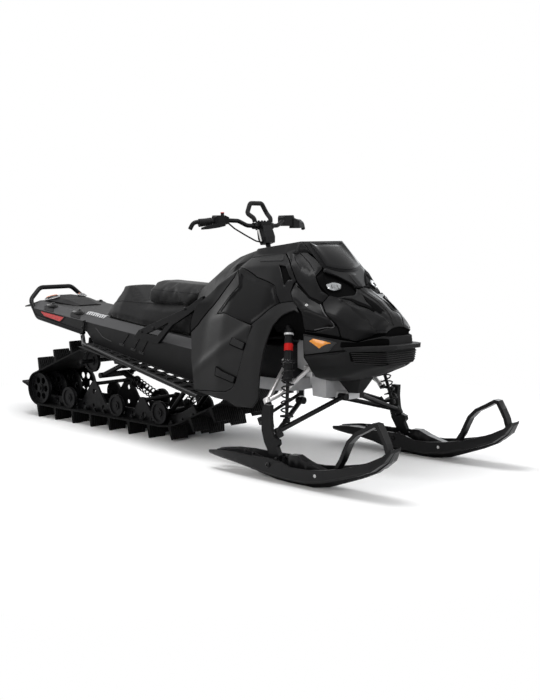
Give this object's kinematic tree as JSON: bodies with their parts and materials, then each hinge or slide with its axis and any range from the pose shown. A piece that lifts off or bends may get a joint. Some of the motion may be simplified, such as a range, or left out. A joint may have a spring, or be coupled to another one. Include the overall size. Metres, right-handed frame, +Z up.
{
  "type": "mountain snowmobile",
  "caption": "Long-track mountain snowmobile with steered skis, wishbone front suspension, deep-lug track, moulded cowling, seat and raised handlebar.",
  "frame": {"origin": "on the snow, under the middle of the machine's box", "axes": "+X towards the ski tips, +Y to the rider's left, +Z up"},
  "size_m": [3.302, 1.074, 1.314],
  "materials": {
    "track_rubber": "matte moulded rubber",
    "black_plastic": "grained black plastic",
    "dark_plastic": "satin dark grey plastic",
    "grey_aluminium": "anodised dark grey",
    "black_tube": "black powder coat",
    "silver_metal": "satin aluminium",
    "seat_vinyl": "matte vinyl",
    "lens": "clear lens",
    "smoke_shield": "smoked sheet"
  },
  "bodies": {
    "chassis": {"track": "track_rubber", "slide_rails": "black_tube", "rear_wheels": "black_plastic", "bogie_wheels": "black_plastic", "upper_wheels": "black_plastic", "drive_axle": "black_tube", "rear_skid_arm": "black_tube", "front_skid_arm": "black_tube", "skid_shocks": "silver_metal", "tunnel": "grey_aluminium", "running_boards": "grey_aluminium", "rear_bumper": "black_tube", "snow_flap": "black_plastic", "tail_housing": "black_plastic", "storage_box": "black_plastic", "seat": "seat_vinyl", "console": "dark_plastic", "frame_braces": "black_tube", "side_panel_right": "dark_plastic", "side_panel_left": "dark_plastic", "side_inserts": "black_plastic", "hood_top": "dark_plastic", "hood": "dark_plastic", "headlights": "lens", "windshield": "smoke_shield", "belly_pan": "black_plastic", "engine": "silver_metal", "bulkhead": "silver_metal", "lower_wishbones": "black_tube", "upper_wishbones": "silver_metal", "ski_shocks": "silver_metal"},
    "steering": {"steering_post": "black_tube", "handlebar": "black_tube", "bar_clamp": "black_tube", "grips": "track_rubber", "mountain_strap": "track_rubber", "bar_controls": "black_plastic", "control_cable": "track_rubber"},
    "upright_right": {"spindle_right": "silver_metal"},
    "upright_left": {"spindle_left": "silver_metal"},
    "ski_right": {"ski_right": "black_plastic"},
    "ski_left": {"ski_left": "black_plastic"},
    "tie_rod_right": {"tie_rod_right": "black_tube"},
    "tie_rod_left": {"tie_rod_left": "black_tube"}
  },
  "joints": [
    {"name": "steering", "type": "hinge", "parent": "chassis", "child": "steering", "pos_m": [0.5825, 0, 0.61], "axis": [-0.2826, 0, 0.9592], "range_deg": [-34, 34]},
    {"name": "upright_right_turn", "type": "hinge", "parent": "chassis", "child": "upright_right", "pos_m": [0.943, -0.448, 0.224], "axis": [-0.573, 0.1417, 0.8072], "range_deg": [-34, 34]},
    {"name": "tie_rod_right_pivot", "type": "hinge", "parent": "upright_right", "child": "tie_rod_right", "pos_m": [0.83, -0.452, 0.268], "axis": [-0.573, 0.1417, 0.8072], "range_deg": [-34, 34]},
    {"name": "ski_right_pitch", "type": "hinge", "parent": "upright_right", "child": "ski_right", "pos_m": [0.963, -0.46, 0.081], "axis": [0, 1, 0], "range_deg": [-15, 12]},
    {"name": "upright_left_turn", "type": "hinge", "parent": "chassis", "child": "upright_left", "pos_m": [0.943, 0.448, 0.224], "axis": [-0.573, -0.1417, 0.8072], "range_deg": [-34, 34]},
    {"name": "tie_rod_left_pivot", "type": "hinge", "parent": "upright_left", "child": "tie_rod_left", "pos_m": [0.83, 0.452, 0.268], "axis": [-0.573, -0.1417, 0.8072], "range_deg": [-34, 34]},
    {"name": "ski_left_pitch", "type": "hinge", "parent": "upright_left", "child": "ski_left", "pos_m": [0.963, 0.46, 0.081], "axis": [0, 1, 0], "range_deg": [-15, 12]}
  ],
  "couplings": [
    {"joint": "upright_right_turn", "follows": "steering", "ratio": 1},
    {"joint": "tie_rod_right_pivot", "follows": "steering", "ratio": -1},
    {"joint": "upright_left_turn", "follows": "steering", "ratio": 1},
    {"joint": "tie_rod_left_pivot", "follows": "steering", "ratio": -1}
  ]
}
